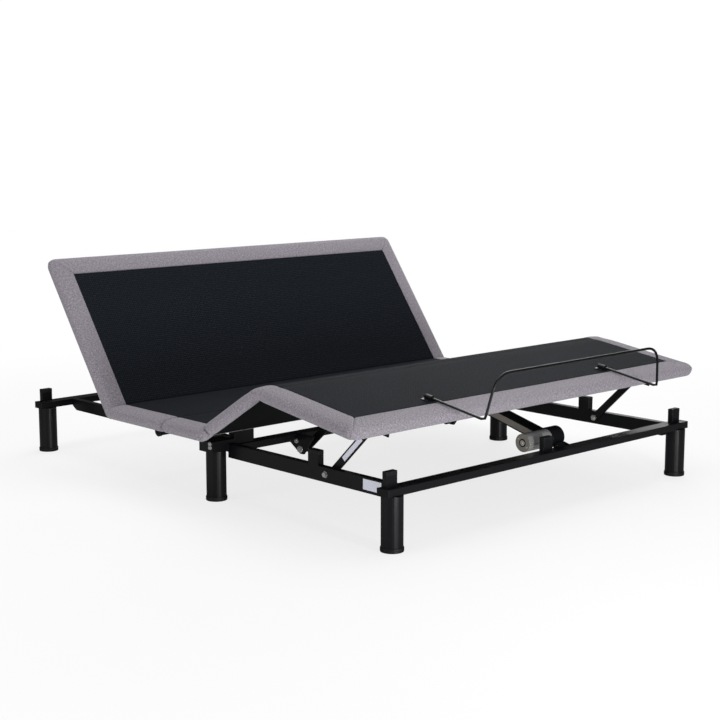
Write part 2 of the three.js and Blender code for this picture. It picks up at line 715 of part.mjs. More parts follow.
// Two arms joined by a cross tube, with a pair of lever plates on the tube for the actuator's
// rod. The tube lies on the pivot, or across the arms further out.
function liftFrame(prefix, pivot, facing, angle, arm, lever, lead, bearingX, actuatorX, tubeAt) {
  const group = pivotGroup(pivot, facing * angle);
  const gap = ROD_EYE_WIDTH / 2 + SIDE_PLAY;
  const tip = reach([0, 0], facing, lever, lead);
  const armEnd = [facing * arm, 0];
  const tube = [facing * tubeAt, 0];
  const bossEnd = bearingX - HANGER_PLATE / 2 - SIDE_PLAY;
  const pieces = [bar("x", spanOf(0, 2 * (tubeAt ? ARM_X : bossEnd)), tube, TORQUE_RADIUS, 24)];
  for (const [, sign] of SIDES) {
    pieces.push(strap(spanOf(sign * ARM_X, ARM_PLATE), [0, 0], armEnd, ARM_HEIGHT / 2 - ARM_NARROW));
    pieces.push(bar("x", ordered(sign * ARM_X, sign * bossEnd), [0, 0], BOSS_RADIUS, 20));
    const stub = ordered(sign * ARM_X, sign * (bearingX + HANGER_PLATE / 2));
    pieces.push(bar("x", stub, [0, 0], STUB_RADIUS, 20));
    const inner = actuatorX + sign * gap;
    const outer = actuatorX + sign * (gap + LEVER_PLATE);
    pieces.push(strap(ordered(inner, outer), tube, tip, ARM_HEIGHT / 2 - LEVER_NARROW));
    pieces.push(bar("x", ordered(outer - sign, outer + sign * NUT), tip, PIN_RADIUS * 1.6, 6));
  }
  const shoeHole = PIN_RADIUS + TOUCH;
  for (const [, sign] of SIDES)
    pieces.push(bar("x", ordered(sign * ARM_X, sign * (ARM_X + SHOE_WIDTH)), armEnd, PIN_RADIUS, 12));
  add(group, `${prefix}_lift_frame`, join(...pieces), steel);
  for (const [side, sign] of SIDES) {
    const start = sign * (ARM_X + ARM_PLATE / 2 + SIDE_PLAY);
    const span = ordered(start, start + sign * SHOE_WIDTH);
    const shoe = cut(
      bar("x", span, armEnd, SHOE_RADIUS, 24),
      bar("x", [span[0] - PAST, span[1] + PAST], armEnd, shoeHole, 12),
    );
    add(group, `${prefix}_lift_shoe_${side}`, shoe, nylon);
  }
}
liftFrame(
  "leg",
  LEG_PIVOT,
  -1,
  legArmAngle,
  LEG_ARM,
  LEG_LEVER,
  0,
  HANGER_X,
  ACTUATOR_X,
  LEG_TUBE_AT,
);
const headBearingX = HEAD_SIDE_X - SIDE_WIDTH / 2 - HANGER_PLATE / 2;
liftFrame(
  "head",
  HEAD_PIVOT,
  1,
  headArmAngle,
  HEAD_ARM,
  HEAD_LEVER,
  HEAD_LEVER_LEAD,
  headBearingX,
  -ACTUATOR_X,
  0,
);

// ---- actuators ----
// Each lies along +Y of its own group, from the clevis pin at the origin to the lever's tip.
function actuator(prefix, pin, tip, facing) {
  const distance = Math.hypot(tip[0] - pin[0], tip[1] - pin[1]);
  const angle = deg(Math.atan2(tip[1] - pin[1], facing * (tip[0] - pin[0])));
  const turn = new THREE.Group();
  turn.position.set(facing * ACTUATOR_X, pin[0], pin[1]);
  turn.rotation.z = facing > 0 ? 0 : Math.PI;
  bed.add(turn);
  const group = pivotGroup([0, 0], angle, turn);
  const motorAt = [MOTOR_ALONG, MOTOR_ABOVE];
  const widthX = spanOf(0, GEARBOX_WIDTH);
  const gearbox = cut(
    join(
      bar("x", widthX, motorAt, GEARBOX_RADIUS, 32),
      box(widthX, [MOTOR_ALONG, GUIDE_START - TOUCH], spanOf(0, GUIDE_HEIGHT + GEARBOX_BLOCK_RISE)),
      strap(spanOf(0, GEARBOX_TAIL), [0, 0], [MOTOR_ALONG, 0], GEARBOX_TAIL_RADIUS),
    ),
    bar("x", spanOf(0, GEARBOX_WIDTH + PAST), [0, 0], PIN_RADIUS + RUN, 16),
  );
  add(group, `${prefix}_actuator_gearbox`, gearbox, plastic);
  const can = [-GEARBOX_WIDTH / 2 - TOUCH - MOTOR_LENGTH, -GEARBOX_WIDTH / 2 - TOUCH];
  const motor = join(
    bar("x", can, motorAt, MOTOR_RADIUS, 32),
    bar("x", [can[0] - MOTOR_BOSS[1], can[0] + 1], motorAt, MOTOR_BOSS[0], 16),
    bar("x", [can[0] - MOTOR_SHAFT[1], can[0] + 1], motorAt, MOTOR_SHAFT[0], 12),
  );
  add(group, `${prefix}_actuator_motor`, motor, zinc);
  const guideY = [GUIDE_START, GUIDE_START + GUIDE_LENGTH];
  const guide = cut(
    box(spanOf(0, GUIDE_WIDTH), guideY, spanOf(0, GUIDE_HEIGHT)),
    bar("y", [guideY[0] + GUIDE_END_WALL, guideY[1] + PAST], [0, 0], ROD_RADIUS + ROD_BORE_CLEARANCE, 20),
  );
  add(group, `${prefix}_actuator_guide`, guide, plastic);
  const rod = join(
    bar("y", [distance - ROD_LENGTH, distance - 4], [0, 0], ROD_RADIUS, 20),
    bar("x", spanOf(0, ROD_EYE_WIDTH), [distance, 0], ROD_EYE_RADIUS, 20),
  );
  add(group, `${prefix}_actuator_rod`, rod, zinc);
}
const legTip = reach(LEG_PIVOT, -1, LEG_LEVER, legArmAngle);
const headTip = reach(HEAD_PIVOT, 1, HEAD_LEVER, headArmAngle + HEAD_LEVER_LEAD);
actuator("leg", [footInner + CLEVIS_Y, CLEVIS_Z], legTip, 1);
actuator("head", [headInner - CLEVIS_Y, CLEVIS_Z], headTip, -1);

// ---- calf links ----
for (const [side, sign] of SIDES) {
  const group = pivotGroup(LINK_PIVOT, -LINK_ANGLE);
  const outer = sign * (sideInner - LINK_INSET);
  const inner = outer - sign * LINK_PLATE;
  const tip = [-LINK_LENGTH, 0];
  const wide = LINK_WIDTH / 2;
  const link = join(
    strap(ordered(outer, inner), [0, 0], tip, LINK_END_RADIUS),
    plate(ordered(outer, inner), [
      [-LINK_LENGTH * LINK_TAPER_AT, -wide],
      [-wide, -wide],
      [-wide, wide],
      [-LINK_LENGTH * LINK_TAPER_AT, wide],
    ]),
  );
  const pin = bar("x", ordered(inner + sign, inner - sign * LINK_PIN_LENGTH), tip, PIN_RADIUS, 12);
  const hole = bar("x", spanOf(outer, PAST), [0, 0], PIN_RADIUS + RUN, 16);
  const eye = bar("x", ordered(outer, inner), [0, 0], wide, 20);
  add(group, `calf_link_${side}`, cut(join(link, eye, pin), hole), steel);

  // The slotted bracket under the calf board that the link's pin slides in.
  const tipWorld = reach(LINK_PIVOT, -1, LINK_LENGTH, LINK_ANGLE);
  const offset = [tipWorld[0] - kneeFold[0], tipWorld[1] - kneeFold[1]];
  const lean = rad(CALF_ANGLE);
  const along = offset[0] * Math.cos(lean) + offset[1] * Math.sin(lean);
  const up = -offset[0] * Math.sin(lean) + offset[1] * Math.cos(lean);
  const boardUnder = calfLift - BOARD - TOUCH;
  const slotY = [along - SLOT_LENGTH + SLOT_PAST, along + SLOT_BACK];
  const slotZ = [up - PIN_RADIUS - SLOT_ROOM[0], up + PIN_RADIUS + SLOT_ROOM[1]];
  const bracketY = [slotY[0] - LINK_BRACKET_EDGE, slotY[1] + LINK_BRACKET_EDGE];
  const near = inner - sign * 2 * SIDE_PLAY;
  const far = near - sign * LINK_BRACKET_PLATE;
  const bracket = cut(
    join(
      box(ordered(near, far), bracketY, [slotZ[0] - LINK_BRACKET_UNDER, boardUnder]),
      box(
        ordered(near, near - sign * LINK_BRACKET_FLANGE[0]),
        bracketY,
        [boardUnder - LINK_BRACKET_FLANGE[1], boardUnder],
      ),
    ),
    box(spanOf(near, PAST / 2), slotY, slotZ),
  );
  add(calfGroup, `calf_link_bracket_${side}`, bracket, steel);
}

// ---- mattress retainer ----
// A bent wire in two sockets on the calf panel, square to the panel past its end.
const wireZ = calfLift + PADDING + RETAINER_LIFT;
const socketY = -CALF_LENGTH + RETAINER_SOCKET_IN;
const retainerY = -CALF_LENGTH - RETAINER_REACH;
const bottomX = RETAINER_WIDTH / 2;
const topX = RETAINER_TOP_WIDTH / 2;

// A path through points with each inner corner rounded to its own radius.
function roundedPath(points, radii) {
  const path = new THREE.CurvePath();
  let from = points[0];
  for (let i = 1; i < points.length - 1; i++) {
    const back = points[i - 1].clone().sub(points[i]).normalize();
    const on = points[i + 1].clone().sub(points[i]).normalize();
    const start = points[i].clone().addScaledVector(back, radii[i - 1]);
    const end = points[i].clone().addScaledVector(on, radii[i - 1]);
    path.add(new THREE.LineCurve3(from, start));
    path.add(new THREE.QuadraticBezierCurve3(start, points[i], end));
    from = end;
  }
  path.add(new THREE.LineCurve3(from, points[points.length - 1]));
  return path;
}
const wirePoints = [
  new THREE.Vector3(-bottomX, socketY, wireZ),
  new THREE.Vector3(-bottomX, retainerY, wireZ - RETAINER_SINK),
  new THREE.Vector3(-topX, retainerY, wireZ - RETAINER_SINK + RETAINER_HEIGHT),
  new THREE.Vector3(topX, retainerY, wireZ - RETAINER_SINK + RETAINER_HEIGHT),
  new THREE.Vector3(bottomX, retainerY, wireZ - RETAINER_SINK),
  new THREE.Vector3(bottomX, socketY, wireZ),
];
const wireSection = new THREE.Shape().absarc(0, 0, RETAINER_WIRE, 0, 2 * Math.PI);
const wire = new THREE.ExtrudeGeometry(wireSection, {
  steps: 110,
  curveSegments: 5,
  extrudePath: roundedPath(wirePoints, [...RETAINER_BENDS, ...RETAINER_BENDS.toReversed()]),
});
add(calfGroup, "retainer_bar", toSolid(wire), steel);
for (const [side, sign] of SIDES) {
  const x = sign * bottomX;
  const fabricTop = calfLift + PADDING + TOUCH;
  const [footWidth, footLength, footPlate] = SOCKET_FOOT;
  const foot = box(spanOf(x, footWidth), spanOf(socketY, footLength), [fabricTop, fabricTop + footPlate]);
  const boreRadius = RETAINER_WIRE + SOCKET_BORE_CLEARANCE;
  const barrel = bar("y", spanOf(socketY, SOCKET_LENGTH), [x, wireZ], boreRadius + SOCKET_WALL, 14);
  const web = box(spanOf(x, SOCKET_WEB), spanOf(socketY, SOCKET_LENGTH), [fabricTop + 1, wireZ]);
  const bore = bar("y", spanOf(socketY, PAST), [x, wireZ], boreRadius, 14);
  add(calfGroup, `retainer_socket_${side}`, cut(join(foot, web, barrel), bore), steel);
}

// ---- control box ----
// Hangs under the rear seat board, with a recess in one end for the mains inlet.
const controlTop = foldZ - BOARD - TOUCH;
const controlZ = [controlTop - CONTROL_HEIGHT, controlTop];
const control = cut(
  box(CONTROL_X, CONTROL_Y, controlZ),
  box(
    [CONTROL_X[1] - INLET_DEPTH, CONTROL_X[1] + 1],
    INLET_Y,
    [controlZ[0] + INLET_MARGIN, controlZ[1] - INLET_MARGIN],
  ),
);
add(bed, "control_box", control, plastic);

// ---- place the bed: centred over the floor point below its middle ----
const whole = new THREE.Box3().setFromObject(bed);
const middle = whole.getCenter(new THREE.Vector3());
bed.position.set(-middle.x, -middle.y, -whole.min.z);
const root = new THREE.Group();
root.add(bed);
export default root;
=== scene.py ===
import json
import math

import bmesh
import bpy
from mathutils import Matrix, Vector, noise


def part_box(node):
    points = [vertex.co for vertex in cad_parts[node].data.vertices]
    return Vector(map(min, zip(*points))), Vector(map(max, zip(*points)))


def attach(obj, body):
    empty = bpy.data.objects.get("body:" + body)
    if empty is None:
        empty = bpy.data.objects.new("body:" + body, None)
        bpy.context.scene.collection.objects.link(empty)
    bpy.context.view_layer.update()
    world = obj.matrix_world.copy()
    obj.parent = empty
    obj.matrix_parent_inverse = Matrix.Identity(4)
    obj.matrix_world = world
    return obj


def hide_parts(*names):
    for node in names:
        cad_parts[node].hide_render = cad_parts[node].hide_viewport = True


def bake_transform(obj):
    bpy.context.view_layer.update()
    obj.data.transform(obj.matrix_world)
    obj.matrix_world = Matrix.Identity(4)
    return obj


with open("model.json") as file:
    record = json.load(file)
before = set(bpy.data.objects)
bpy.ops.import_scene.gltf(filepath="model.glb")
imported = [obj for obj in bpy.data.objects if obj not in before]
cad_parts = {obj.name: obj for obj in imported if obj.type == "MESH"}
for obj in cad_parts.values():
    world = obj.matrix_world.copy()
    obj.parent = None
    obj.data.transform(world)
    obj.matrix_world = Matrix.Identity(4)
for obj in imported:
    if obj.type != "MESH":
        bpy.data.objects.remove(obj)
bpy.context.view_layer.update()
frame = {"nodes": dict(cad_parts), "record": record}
nodes = frame["nodes"]
MM = 0.001


# ---- materials ----
def linear(hex_colour):
    """A six-digit sRGB hex colour as linear RGBA."""
    out = []
    for at in (0, 2, 4):
        c = int(hex_colour[at : at + 2], 16) / 255
        out.append(c / 12.92 if c <= 0.04045 else ((c + 0.055) / 1.055) ** 2.4)
    return (*out, 1.0)


def add_node(tree, kind, settings=None, links=None, **attributes):
    """Adds one node, with its attributes, its input values and its input links."""
    made = tree.nodes.new(kind)
    for key, value in attributes.items():
        setattr(made, key, value)
    for key, value in (settings or {}).items():
        made.inputs[key].default_value = value
    for key, source in (links or {}).items():
        tree.links.new(source, made.inputs[key])
    return made


def new_material(name, colour, roughness, metallic=0.0, more=None):
    """A material with a Principled shader on its output. Returns the material, tree and shader."""
    material = bpy.data.materials.new(name)
    material.use_nodes = True
    tree = material.node_tree
    tree.nodes.clear()
    settings = {"Base Color": linear(colour), "Roughness": roughness, "Metallic": metallic}
    settings.update(more or {})
    shader = add_node(tree, "ShaderNodeBsdfPrincipled", settings)
    add_node(tree, "ShaderNodeOutputMaterial", links={"Surface": shader.outputs[0]})
    return material, tree, shader


def ramp(tree, factor, stops):
    """A colour ramp whose stops are (position, hex colour)."""
    made = add_node(tree, "ShaderNodeValToRGB", links={"Fac": factor})
    elements = made.color_ramp.elements
    while len(elements) < len(stops):
        elements.new(0.5)
    for element, (position, colour) in zip(elements, stops):
        element.position = position
        element.color = linear(colour)
    return made.outputs["Color"]


def noise_on(tree, vector, scale, detail=2.0, roughness=0.5):
    """Noise on a vector. Scale is per metre: 1000 over the size of a blob in millimetres."""
    settings = {"Scale": scale, "Detail": detail, "Roughness": roughness}
    return add_node(tree, "ShaderNodeTexNoise", settings, {"Vector": vector}).outputs["Fac"]


def stretched(tree, vector, scale):
    """A vector stretched by a scale on each axis."""
    return add_node(
        tree, "ShaderNodeMapping", {"Scale": scale}, {"Vector": vector}
    ).outputs["Vector"]


def combine(tree, operation, a, b):
    """Two values, or a value and a number, joined by one operation."""
    made = add_node(tree, "ShaderNodeMath", operation=operation)
    for socket, value in zip(made.inputs, (a, b)):
        if isinstance(value, (int, float)):
            socket.default_value = value
        else:
            tree.links.new(value, socket)
    return made.outputs[0]


def bump(tree, shader, height, distance, strength=1.0, rounded=0.0):
    """Fine relief on a shader, in metres, over edges that look rounded by a radius."""
    links = {"Height": height}
    if rounded:
        edge = add_node(tree, "ShaderNodeBevel", {"Radius": rounded}, samples=4)
        links["Normal"] = edge.outputs[0]
    made = add_node(tree, "ShaderNodeBump", {"Distance": distance, "Strength": strength}, links)
    tree.links.new(made.outputs[0], shader.inputs["Normal"])


# Polyester linen weave in a heathered grey with a trace of mauve: matt, with pale and dark slubs
# along both threads. The threads are about 1.8 mm apart, and the slubs about 1 mm by 8 mm.
THREAD_SCALE = 176.6616
SLUB_ALONG, SLUB_ACROSS = 120.0, 900.0
SLUB_SHARE, PATCH_SHARE = 0.84, 0.16
linen, tree, shader = new_material(
    "heathered_linen_weave", "98929a", 0.92, more={"Sheen Weight": 0.15, "Sheen Roughness": 0.5}
)
cloth = add_node(tree, "ShaderNodeUVMap", uv_map="cloth").outputs["UV"]
warp = noise_on(tree, stretched(tree, cloth, (SLUB_ACROSS, SLUB_ALONG, 1.0)), 1.0, 3.0, 0.6)
weft = noise_on(tree, stretched(tree, cloth, (SLUB_ALONG, SLUB_ACROSS, 1.0)), 1.0, 3.0, 0.6)
slubs = combine(tree, "MULTIPLY", combine(tree, "ADD", warp, weft), 0.5)
patches = noise_on(tree, cloth, 110.0, 4.0, 0.65)
heather = combine(
    tree,
    "ADD",
    combine(tree, "MULTIPLY", slubs, SLUB_SHARE),
    combine(tree, "MULTIPLY", patches, PATCH_SHARE),
)
tree.links.new(
    ramp(tree, heather, [(0.38, "57515b"), (0.5, "807a82"), (0.62, "afaab3")]),
    shader.inputs["Base Color"],
)
threads = [
    add_node(
        tree,
        "ShaderNodeTexWave",
        {"Scale": THREAD_SCALE, "Distortion": 1.2, "Detail": 1.0},
        {"Vector": cloth},
        bands_direction=direction,
        wave_type="BANDS",
    ).outputs["Fac"]
    for direction in ("X", "Y")
]
weave = combine(tree, "MAXIMUM", threads[0], threads[1])
bump(tree, shader, combine(tree, "ADD", weave, combine(tree, "MULTIPLY", slubs, 2.0)), 0.0005, 0.6)

# Black non-slip polyester: a knitted ground with rows of small matt dots about 8 mm apart. The dots'
# lighter tone in the colour is a painted highlight, standing in for the light that they catch at a low
# angle.
anti_slip, tree, shader = new_material(
    "dotted_non_slip_knit",
    "15181c",
    0.75,
    more={"Sheen Weight": 0.02, "Sheen Roughness": 0.3, "Specular IOR Level": 0.05},
)
cloth = add_node(tree, "ShaderNodeUVMap", uv_map="cloth").outputs["UV"]
dots = add_node(
    tree,
    "ShaderNodeTexVoronoi",
    {"Scale": 120.0, "Randomness": 0.08},
    {"Vector": cloth},
    voronoi_dimensions="2D",
).outputs["Distance"]
ground = noise_on(tree, cloth, 160.0, 3.0, 0.7)
# the knit's own uneven tone, with a painted highlight that lightens the middle of each dot
knit_tone_and_dot_highlight = combine(
    tree,
    "SUBTRACT",
    combine(tree, "MULTIPLY", ground, 0.5),
    combine(tree, "MULTIPLY", dots, 0.35),
)
tree.links.new(
    ramp(tree, knit_tone_and_dot_highlight, [(0.0, "0b0d11"), (0.15, "15191f"), (0.34, "323941")]),
    shader.inputs["Base Color"],
)
bump(tree, shader, combine(tree, "SUBTRACT", ground, combine(tree, "MULTIPLY", dots, 1.6)), 0.0007, 0.7)

# Black spunbond polypropylene glued under the boards: dull, with pressed dots 3 mm apart.
lining, tree, shader = new_material(
    "black_spunbond_lining", "0b0c0e", 0.9, more={"Specular IOR Level": 0.1}
)
place = add_node(tree, "ShaderNodeTexCoord").outputs["Object"]
pressed = add_node(
    tree, "ShaderNodeTexVoronoi", {"Scale": 350.0, "Randomness": 0.2}, {"Vector": place}
).outputs["Distance"]
bump(tree, shader, pressed, 0.0004, 0.5)

# Black powder coat on steel tube: half gloss, with a slight orange peel about 1.5 mm across.
powder_coat, tree, shader = new_material(
    "black_powder_coated_steel", "090a0d", 0.32, more={"Specular IOR Level": 0.42}
)
place = add_node(tree, "ShaderNodeTexCoord").outputs["Object"]
bump(tree, shader, noise_on(tree, place, 650.0, 2.0), 0.00012, 0.5, rounded=0.0022)

# Zinc-plated steel: bright and nearly neutral, with faint drawn lines across the bed and
# patches that fingers have dulled, about 17 mm across.
zinc, tree, shader = new_material("zinc_plated_steel", "c9cac8", 0.34, 0.72)
place = add_node(tree, "ShaderNodeTexCoord").outputs["Object"]
dull = noise_on(tree, place, 60.0, 4.0, 0.6)
span = add_node(
    tree,
    "ShaderNodeMapRange",
    {"From Min": 0.3, "From Max": 0.7, "To Min": 0.22, "To Max": 0.42},
    {"Value": dull},
)
tree.links.new(span.outputs[0], shader.inputs["Roughness"])
drawn = noise_on(tree, stretched(tree, place, (40.0, 900.0, 900.0)), 1.0, 2.0)
bump(tree, shader, drawn, 0.00008, 0.4, rounded=0.0008)

# Glass-filled nylon housing, moulded: matt black with a fine spark-eroded grain.
housing, tree, shader = new_material(
    "moulded_black_nylon", "0c0d10", 0.45, more={"Specular IOR Level": 0.25}
)
place = add_node(tree, "ShaderNodeTexCoord").outputs["Object"]
bump(tree, shader, noise_on(tree, place, 1400.0, 2.0), 0.0001, 0.5, rounded=0.002)

# Natural nylon: milky, with soft light in it.
nylon = new_material("natural_nylon", "cfcdc0", 0.42, more={"Subsurface Weight": 0.12})[0]

# Vulcanised rubber: dull black with a faint grey bloom.
rubber, tree, shader = new_material(
    "black_rubber", "0f1012", 0.55, more={"Specular IOR Level": 0.3}
)
place = add_node(tree, "ShaderNodeTexCoord").outputs["Object"]
bloom = noise_on(tree, place, 45.0, 3.0)
tree.links.new(ramp(tree, bloom, [(0.35, "0c0d0f"), (0.7, "18191c")]), shader.inputs["Base Color"])
bump(tree, shader, bloom, 0.0002, 0.3, rounded=0.0015)

# Sintered iron of the motors' end plates and the guides' side plates: a warm, half-dull grey.
end_plate = new_material("motor_end_plate", "8d877f", 0.4, 0.5)[0]

# Plain paper label, unprinted: pale, with a trace of blue.
label_paper = new_material("blank_label", "d3d5e2", 0.6)[0]

BY_SLOT = {
    "plywood": lining,
    "black_steel": powder_coat,
    "zinc_steel": zinc,
    "black_plastic": housing,
    "rubber": rubber,
    "nylon": nylon,
    "linen_fabric": linen,
}
for part in frame["record"]["subparts"]:
    mesh = nodes[part["node"]].data
    mesh.materials.clear()
    mesh.materials.append(BY_SLOT[part["material_slot"]])


# ---- making pieces ----
def finish_piece(bm, name, materials, body=None, smooth=True):
    """Turns a bmesh into a named piece that rides on a body."""
    mesh = bpy.data.meshes.new(name)
    bm.to_mesh(mesh)
    bm.free()
    for material in materials:
        mesh.materials.append(material)
    if smooth:
        for polygon in mesh.polygons:
            polygon.use_smooth = True
    made = bpy.data.objects.new(name, mesh)
    bpy.context.scene.collection.objects.link(made)
    if body:
        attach(made, body)
    return made


def round_edges(bm, edges, width, segments):
    """Rounds edges of a bmesh by a width."""
    bmesh.ops.bevel(
        bm,
        geom=list(edges),
        offset=width,
        offset_type="OFFSET",
        affect="EDGES",
        segments=segments,
        profile=0.5,
        material=-1,
    )


# ---- the deck as it lies flat ----
# s runs along the flat deck towards the head end, and n is the height over the boards.
HALF = 0.9
DECK_TOP = 0.2895
PAD = 0.017
REAR_BOARD_START = 0.0651  # the rear seat board starts this far from the deck's zero
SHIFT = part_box("seat_rear_board")[0].y - REAR_BOARD_START
FOLD_Z = DECK_TOP - PAD
SEAM_AT = 0.0645  # the line between the two seat panels
SEAT_REAR_LENGTH, BACK_LENGTH = 0.3345, 0.658
SEAT_FRONT_LENGTH, THIGH_LENGTH, CALF_LENGTH = 0.2095, 0.3487, 0.4655
SEAM_S = SEAM_AT + SHIFT
BACK_S = SEAM_S + SEAT_REAR_LENGTH
THIGH_S = SEAM_S - SEAT_FRONT_LENGTH
KNEE_S = THIGH_S - THIGH_LENGTH
FOOT_S = KNEE_S - CALF_LENGTH
HEAD_S = BACK_S + BACK_LENGTH
KNEE_N = -0.030
BACK_TURN = math.radians(54.34)
THIGH_TURN = math.radians(-31.3)
CALF_TURN = math.radians(8.34)
KNEE_SOFT = 0.034
SEAM_ROLL = 0.013  # the covers round off this far from the line between the seat panels
LAP = 0.045  # how far the front seat cover runs on over the thigh board
BULGE = 0.35  # how far squeezed padding swells off the fold's middle plane, as a share of its squeeze
BULGE_FROM = 0.02
UNDER_SPREAD = 0.35  # under a closing fold the turn spreads out by this share of the depth


def turned(angle, s, n):
    """(s, n) turned by an angle."""
    return (
        s * math.cos(angle) - n * math.sin(angle),
        s * math.sin(angle) + n * math.cos(angle),
    )


class Fold:
    """A fold line of the deck: where it is, and how far each side of it is turned."""

    def __init__(self, at, height, place, low_turn, high_turn, soft):
        self.at = at
        self.height = height
        self.place = place
        self.low_turn = low_turn
        self.high_turn = high_turn
        self.soft = soft

    def bend(self, s, n):
        """The place in the YZ plane of a point of the flat deck."""
        along = s - self.at
        up = n - self.height
        half_turn = (self.high_turn - self.low_turn) / 2
        if half_turn > 0 and up > 0:
            # padding presses on padding above the line, up to the plane halfway between
            limit = up * math.tan(half_turn)
            side = 1.0 if along >= 0 else -1.0
            reach = abs(along)
            swell = BULGE * max(limit - reach, 0.0) * min(reach / BULGE_FROM, 1.0)
            reach = limit + max(reach - limit, 0.0) + swell
            if abs(along) < 1e-7:
                middle = (self.high_turn + self.low_turn) / 2
                y, z = turned(middle, 0.0, up / math.cos(half_turn))
            else:
                angle = self.high_turn if side > 0 else self.low_turn
                y, z = turned(angle, side * reach, up)
        else:
            width = self.soft if half_turn < 0 else 0.0005 - up * UNDER_SPREAD
            share = min(max((along + width) / (2 * width), 0.0), 1.0)
            share = share * share * (3 - 2 * share)
            angle = self.low_turn + (self.high_turn - self.low_turn) * share
            y, z = turned(angle, along, up)
        return self.place[0] + y, self.place[1] + z


back_fold = Fold(BACK_S, 0.0, (BACK_S, FOLD_Z), 0.0, BACK_TURN, 0.004)
thigh_fold = Fold(THIGH_S, 0.0, (THIGH_S, FOLD_Z), THIGH_TURN, 0.0, 0.004)
knee_place = turned(THIGH_TURN, KNEE_S - THIGH_S, KNEE_N)
knee_fold = Fold(
    KNEE_S, KNEE_N, (THIGH_S + knee_place[0], FOLD_Z + knee_place[1]), CALF_TURN, THIGH_TURN, KNEE_SOFT
)

# The cover's section from the edge of the black top, over the roll and under the board, then
# back round the board's edge: distance in from the side, distance in from an end, and height.
SEAM_IN = 0.083
GROOVE_RING = 2
ROLL_TOP = 34.0  # how far in from the edge the roll is highest
ROLL_MIDDLE = -4.5  # the height at which the roll stands out furthest
ROLL_RISE, ROLL_DROP = 21.0, 25.5
UNDER_IN_SIDE, UNDER_IN_END = 17, 12.5
section = [(81.4, 81.4, 16.4), (80.0, 80.0, 15.2), (78.8, 78.8, 16.6), (76.0, 76.0, 17.5)]
section += [(68.0, 68.0, 18.3), (58.0, 58.0, 18.6), (48.0, 48.0, 18.2), (40.0, 40.0, 17.4)]
for step in range(1, 10):
    turn = math.radians(step * 10)
    inset = ROLL_TOP * (1 - math.sin(turn))
    section.append((inset, inset, ROLL_MIDDLE + ROLL_RISE * math.cos(turn)))
for step in range(1, 7):
    turn = math.radians(step * 15)
    inward = 1 - math.cos(turn)
    height = ROLL_MIDDLE - ROLL_DROP * math.sin(turn)
    section.append((UNDER_IN_SIDE * inward, UNDER_IN_END * inward, height))
OUTER_RINGS = len(section)
section += [(30.0, 13.2, -30.0), (42.0, 13.6, -27.0), (49.0, 13.7, -18.8)]
section += [(13.8, 13.75, -18.6), (13.8, 13.8, 0.4), (79.5, 79.5, 0.4)]
section = [(a * MM, b * MM, c * MM) for a, b, c in section]
ARC = [0.0]
for (a, _, c), (d, _, f) in zip([(SEAM_IN, 0, PAD)] + section, section):
    ARC.append(ARC[-1] + math.hypot(a - d, c - f))
CORNER = 0.032
ZONE = 0.070  # the mitre's slant is taken up within this distance of a corner


def samples(length, step, close):
    """Places from 0 to a length, about a step apart, with more of them where close says."""
    places = {0.0, length}
    count = max(int(round(length / step)), 1)
    wanted = sorted(p for p in close if 0 <= p <= length)
    places.update(wanted)
    for i in range(count + 1):
        p = length * i / count
        if all(abs(p - q) > step * 0.45 for q in wanted):
            places.add(p)
    return sorted(places)


CORNER_STEPS = (0.0, 0.002, 0.005, 0.009, 0.014, 0.021, 0.030, 0.042, 0.056, 0.070)
SEAM_STEPS = (0.0007, 0.002, 0.004, 0.0065, 0.0095, SEAM_ROLL)
ROW_STEP, COLUMN_STEP = 0.016, 0.018
# A mitre is a line pulled in by MITRE_PULL, with a slight swelling beside it.
MITRE_PULL, MITRE_WIDTH = 0.0034, 0.0030
SWELL, SWELL_AT, SWELL_WIDTH = 0.0007, 0.012, 0.009
# Wrinkles on the side rolls: deeper where the fold closes than where it opens.
CREASE_CLOSED, CREASE_OPEN, CREASE_SPREAD, CREASE_LENGTH = 0.0011, 0.0004, 0.030, 0.021
# At the seam the roll keeps its middle height and shrinks towards it; the top dips.
SEAM_MIDDLE, SEAM_DRAW, SEAM_NARROW, SEAM_DIP = -0.005, 0.24, 0.11, 0.0030
SEAM_BAND = 0.05
VALLEY_DEPTH, VALLEY_WIDTH = 0.0022, 0.006
RIDGE_HEIGHT, RIDGE_AT, RIDGE_WIDTH = 0.0009, 0.022, 0.012
KNEE_SQUEEZE, KNEE_REACH = 0.34, 0.040


def crease_wave(distance, turn, spread, length):
    """A few soft wrinkles that die away on both sides of a fold."""
    return math.exp(-((distance / spread) ** 2)) * math.cos(2 * math.pi * distance / length + turn)


